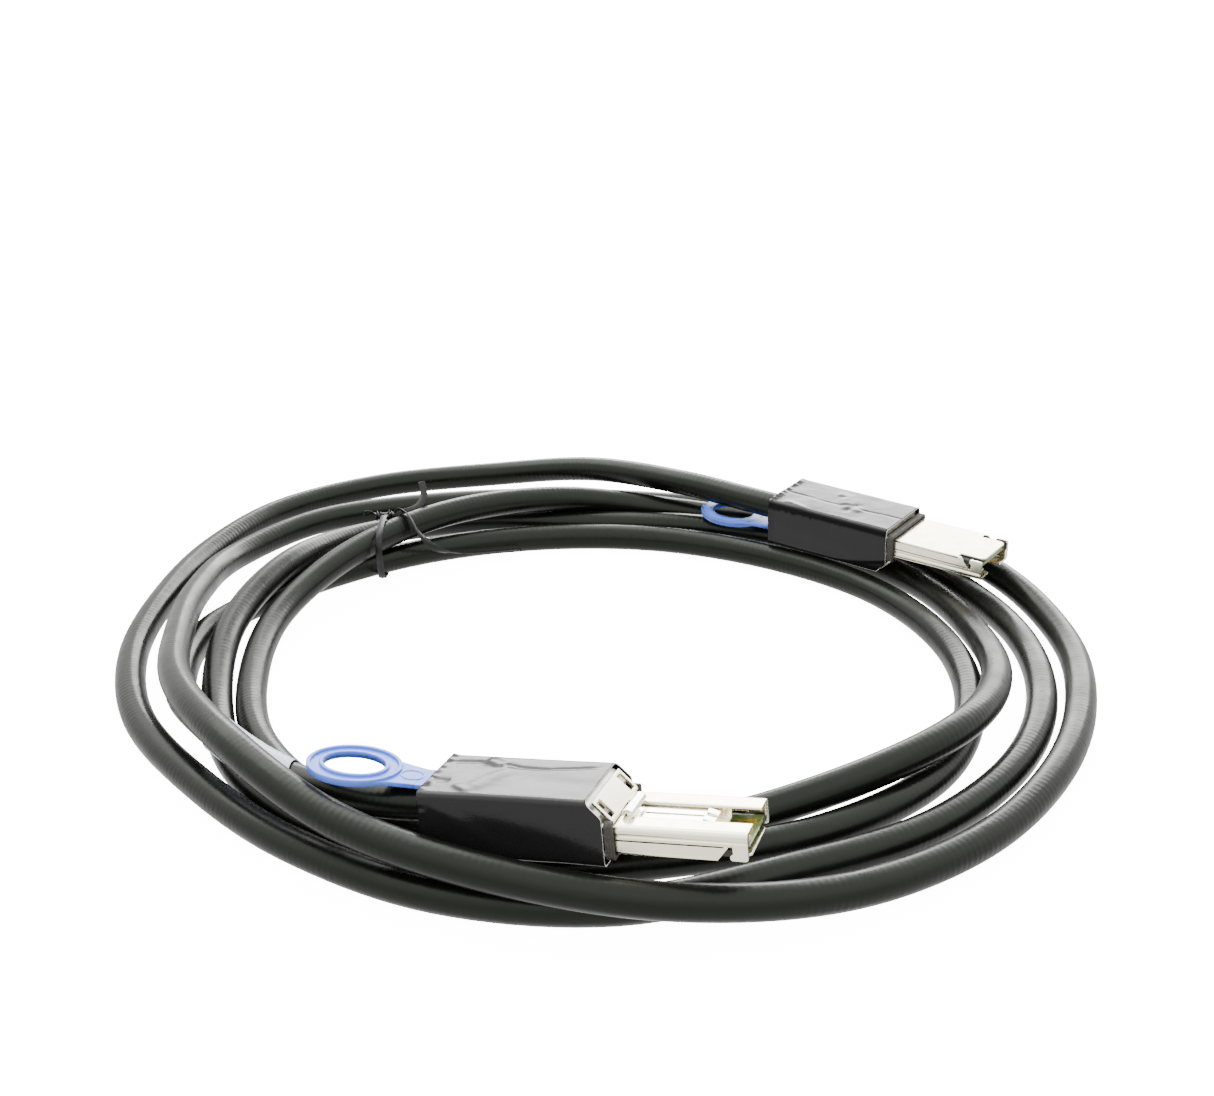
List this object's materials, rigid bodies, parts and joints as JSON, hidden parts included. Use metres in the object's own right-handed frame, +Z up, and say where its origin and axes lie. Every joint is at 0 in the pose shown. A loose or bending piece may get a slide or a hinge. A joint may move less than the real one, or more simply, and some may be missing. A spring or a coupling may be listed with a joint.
{
  "type": "mini sas cable",
  "caption": "Round data cable in a loose flat coil, with a latching metal plug and blue pull tab on each end.",
  "frame": {"origin": "on the surface that the coil lies on, under the middle of the two plugs and the tie taken together", "axes": "+Z up, +X to the right and +Y away in the view from the front plug's side; the front plug points to +X and a little to -Y"},
  "size_m": [0.2609, 0.2719, 0.0277],
  "materials": {
    "jacket": "satin black jacket",
    "label": "pale film sleeve",
    "tie": "flat black ribbon with a wire",
    "cast_shell": "die-cast, plated",
    "tape": "glossy black film",
    "nickel": "nickel-plated stamped sheet",
    "gasket": "conductive foam",
    "card": "green solder mask with gold contacts",
    "spring_steel": "bright spring strip",
    "tab": "translucent blue moulding",
    "wires": "foil-wrapped pairs"
  },
  "bodies": {
    "assembly": {"front_backshell_lower": "cast_shell", "front_backshell_upper": "cast_shell", "front_tape_wrap": "tape", "front_nose_lower": "nickel", "front_nose_upper": "nickel", "front_gasket": "gasket", "front_paddle_card": "card", "front_latch_cover": "nickel", "front_ferrule": "spring_steel", "front_wire_bundle": "wires", "front_rivet_left": "nickel", "front_rivet_right": "nickel", "rear_backshell_lower": "cast_shell", "rear_backshell_upper": "cast_shell", "rear_tape_wrap": "tape", "rear_nose_lower": "nickel", "rear_nose_upper": "nickel", "rear_gasket": "gasket", "rear_paddle_card": "card", "rear_latch_cover": "nickel", "rear_ferrule": "spring_steel", "rear_wire_bundle": "wires", "rear_rivet_left": "nickel", "rear_rivet_right": "nickel", "cable": "jacket", "cable_label": "label", "twist_tie": "tie"},
    "front_tab": {"front_pull_tab": "tab"},
    "front_spring": {"front_latch": "spring_steel"},
    "rear_tab": {"rear_pull_tab": "tab"},
    "rear_spring": {"rear_latch": "spring_steel"}
  },
  "joints": [
    {"name": "front_tab_slide", "type": "slide", "parent": "assembly", "child": "front_tab", "axis": [-0.9453, 0.3053, -0.1149], "range_m": [0, 0.0025], "stiffness_N_per_m": 400},
    {"name": "front_latch_flex", "type": "hinge", "parent": "assembly", "child": "front_spring", "pos_m": [-0.02603, -0.09472, 0.02042], "axis": [0.3142, 0.9468, -0.0693], "range_deg": [0, 1.6]},
    {"name": "rear_tab_slide", "type": "slide", "parent": "assembly", "child": "rear_tab", "axis": [-0.7975, 0.6031, 0.014], "range_m": [0, 0.0025], "stiffness_N_per_m": 400},
    {"name": "rear_latch_flex", "type": "hinge", "parent": "assembly", "child": "rear_spring", "pos_m": [0.06039, 0.07189, 0.01549], "axis": [-0.6025, -0.7951, -0.0697], "range_deg": [0, 1.6]}
  ],
  "couplings": [
    {"joint": "front_latch_flex", "follows": "front_tab_slide", "rad_per_m": 11.17},
    {"joint": "rear_latch_flex", "follows": "rear_tab_slide", "rad_per_m": 11.17}
  ]
}
